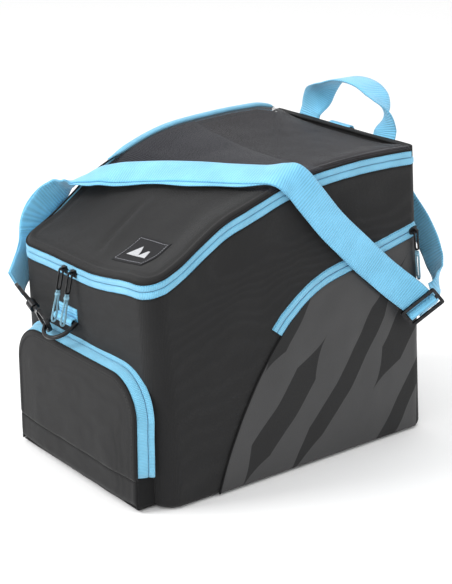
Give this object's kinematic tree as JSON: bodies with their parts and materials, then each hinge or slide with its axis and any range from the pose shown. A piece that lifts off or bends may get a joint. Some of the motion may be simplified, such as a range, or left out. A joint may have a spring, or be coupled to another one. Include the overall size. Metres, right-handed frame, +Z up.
{
  "type": "ski boot bag",
  "caption": "Soft boxy ski boot bag with sloping zipped lid, front and side pockets, grab handle and clip-on shoulder strap.",
  "frame": {"origin": "centre of the base, on the underside that stands on the floor", "axes": "+Z up, +Y from the low front with the pocket to the tall rear with the handle, +X to the wall with the slanted pocket"},
  "size_m": [0.3304, 0.4647, 0.4182],
  "materials": {
    "fabric_front": "matte",
    "fabric_side": "matte",
    "fabric_print": "satin",
    "mesh": "matte",
    "foam": "matte",
    "board": "matte",
    "lining": "matte",
    "webbing": "matte",
    "zip_tape": "satin",
    "cord": "matte",
    "label": "satin",
    "black_metal": "satin",
    "black_plastic": "matte"
  },
  "bodies": {
    "bag": {"base_panel": "fabric_side", "base_board": "board", "front_panel": "fabric_front", "front_foam": "foam", "rear_panel": "fabric_side", "rear_foam": "foam", "left_side_panel": "fabric_side", "left_side_foam": "foam", "right_side_panel": "fabric_side", "right_side_foam": "foam", "lining": "lining", "lid_zip_lower_tape": "zip_tape", "rear_edge_strip": "fabric_side", "front_pocket_base": "fabric_front", "front_pocket_zip_inner_tape": "zip_tape", "front_pocket_end_tabs": "fabric_side", "side_pocket_panel": "fabric_print", "side_pocket_zip_lower_tape": "zip_tape", "side_pocket_zip_upper_tape": "zip_tape", "front_ring_tab": "webbing", "rear_ring_tab": "webbing", "strap_front_run": "webbing", "strap_rear_run": "webbing", "handle_ends": "webbing"},
    "lid": {"lid_front_panel": "fabric_front", "lid_mesh_panel": "mesh", "lid_underlay": "lining", "lid_zip_upper_tape": "zip_tape", "label_patch": "label"},
    "front_pocket_flap": {"front_pocket_flap": "fabric_front", "front_pocket_zip_outer_tape": "zip_tape"},
    "grab_handle": {"grab_handle": "webbing"},
    "front_ring": {"front_ring": "black_metal", "front_strap_eye": "black_metal"},
    "front_hook": {"front_hook": "black_metal"},
    "front_gate": {"front_hook_gate": "black_metal"},
    "rear_ring": {"rear_ring": "black_metal", "rear_strap_eye": "black_metal"},
    "rear_hook": {"rear_hook": "black_metal"},
    "rear_gate": {"rear_hook_gate": "black_metal"},
    "adjuster": {"tri_glide": "black_metal", "strap_end_loop": "webbing"},
    "lid_left_slider": {"lid_left_slider": "black_metal"},
    "lid_left_pull": {"lid_left_pull": "black_metal", "lid_left_pull_cord": "cord"},
    "lid_right_slider": {"lid_right_slider": "black_metal"},
    "lid_right_pull": {"lid_right_pull": "black_metal", "lid_right_pull_cord": "cord"},
    "front_pocket_slider": {"front_pocket_slider": "black_metal"},
    "front_pocket_pull": {"front_pocket_pull": "black_metal", "front_pocket_pull_cord": "cord"},
    "side_pocket_slider": {"side_pocket_slider": "black_metal"},
    "side_pocket_pull": {"side_pocket_pull": "black_metal", "side_pocket_pull_cord": "cord"}
  },
  "joints": [
    {"name": "lid_hinge", "type": "hinge", "parent": "bag", "child": "lid", "pos_m": [0, 0.17375, 0.361], "axis": [-1, 0, 0], "range_deg": [0, 85], "deforming": ["strap_front_run", "strap_rear_run"]},
    {"name": "lid_left_slide", "type": "slide", "parent": "bag", "child": "lid_left_slider", "axis": [-1, 0, 0], "range_m": [0, 0.012]},
    {"name": "lid_left_pull_swing", "type": "hinge", "parent": "lid_left_slider", "child": "lid_left_pull", "pos_m": [-0.031, -0.21735, 0.24542], "axis": [-1, 0, 0], "range_deg": [0, 110]},
    {"name": "lid_right_slide", "type": "slide", "parent": "bag", "child": "lid_right_slider", "axis": [1, 0, 0], "range_m": [0, 0.1]},
    {"name": "lid_right_pull_swing", "type": "hinge", "parent": "lid_right_slider", "child": "lid_right_pull", "pos_m": [-0.012, -0.21735, 0.24542], "axis": [-1, 0, 0], "range_deg": [0, 110]},
    {"name": "front_pocket_hinge", "type": "hinge", "parent": "bag", "child": "front_pocket_flap", "pos_m": [0, -0.2262, 0.038], "axis": [1, 0, 0], "range_deg": [0, 80]},
    {"name": "front_pocket_slide", "type": "slide", "parent": "bag", "child": "front_pocket_slider", "axis": [0, 0, 1], "range_m": [-0.03, 0.02]},
    {"name": "front_pocket_pull_swing", "type": "hinge", "parent": "front_pocket_slider", "child": "front_pocket_pull", "pos_m": [-0.1334, -0.21341, 0.08285], "axis": [-0.3987, 0.9171, 0], "range_deg": [0, 90]},
    {"name": "side_pocket_slide", "type": "slide", "parent": "bag", "child": "side_pocket_slider", "axis": [0, -0.9774, -0.2115], "range_m": [0, 0.029]},
    {"name": "side_pocket_pull_swing", "type": "hinge", "parent": "side_pocket_slider", "child": "side_pocket_pull", "pos_m": [0.14253, 0.1752, 0.25935], "axis": [0, -0.9774, -0.2115], "range_deg": [0, 90]},
    {"name": "grab_handle_fold", "type": "hinge", "parent": "bag", "child": "grab_handle", "pos_m": [0, 0.18673, 0.355], "axis": [-1, 0, 0], "range_deg": [0, 85], "stiffness_Nm_per_rad": 0.02},
    {"name": "front_ring_swing", "type": "hinge", "parent": "bag", "child": "front_ring", "pos_m": [-0.031, -0.21393, 0.18475], "axis": [-1, 0, 0], "range_deg": [0, 25]},
    {"name": "front_hook_swivel", "type": "hinge", "parent": "front_ring", "child": "front_hook", "pos_m": [-0.05288, -0.22767, 0.17659], "axis": [0.9336, -0.0703, -0.3514], "range_deg": [-12, 12]},
    {"name": "front_gate_open", "type": "hinge", "parent": "front_hook", "child": "front_gate", "pos_m": [-0.06034, -0.2307, 0.18869], "axis": [0.2017, 0.9135, 0.3533], "range_deg": [0, 18], "stiffness_Nm_per_rad": 0.05, "springref_deg": -11.46},
    {"name": "rear_ring_swing", "type": "hinge", "parent": "bag", "child": "rear_ring", "pos_m": [-0.012, 0.18959, 0.35625], "axis": [1, 0, 0], "range_deg": [0, 18]},
    {"name": "rear_hook_swivel", "type": "hinge", "parent": "rear_ring", "child": "rear_hook", "pos_m": [0.0062, 0.20086, 0.33627], "axis": [-0.8602, -0.1, 0.5001], "range_deg": [-12, 12]},
    {"name": "rear_gate_open", "type": "hinge", "parent": "rear_hook", "child": "rear_gate", "pos_m": [0.01445, 0.19334, 0.32697], "axis": [-0.4939, 0.4082, -0.7678], "range_deg": [0, 18], "stiffness_Nm_per_rad": 0.05, "springref_deg": -11.46},
    {"name": "adjuster_slide", "type": "slide", "parent": "bag", "child": "adjuster", "axis": [-0.1732, -0.6237, 0.7623], "range_m": [0, 0.02]}
  ]
}
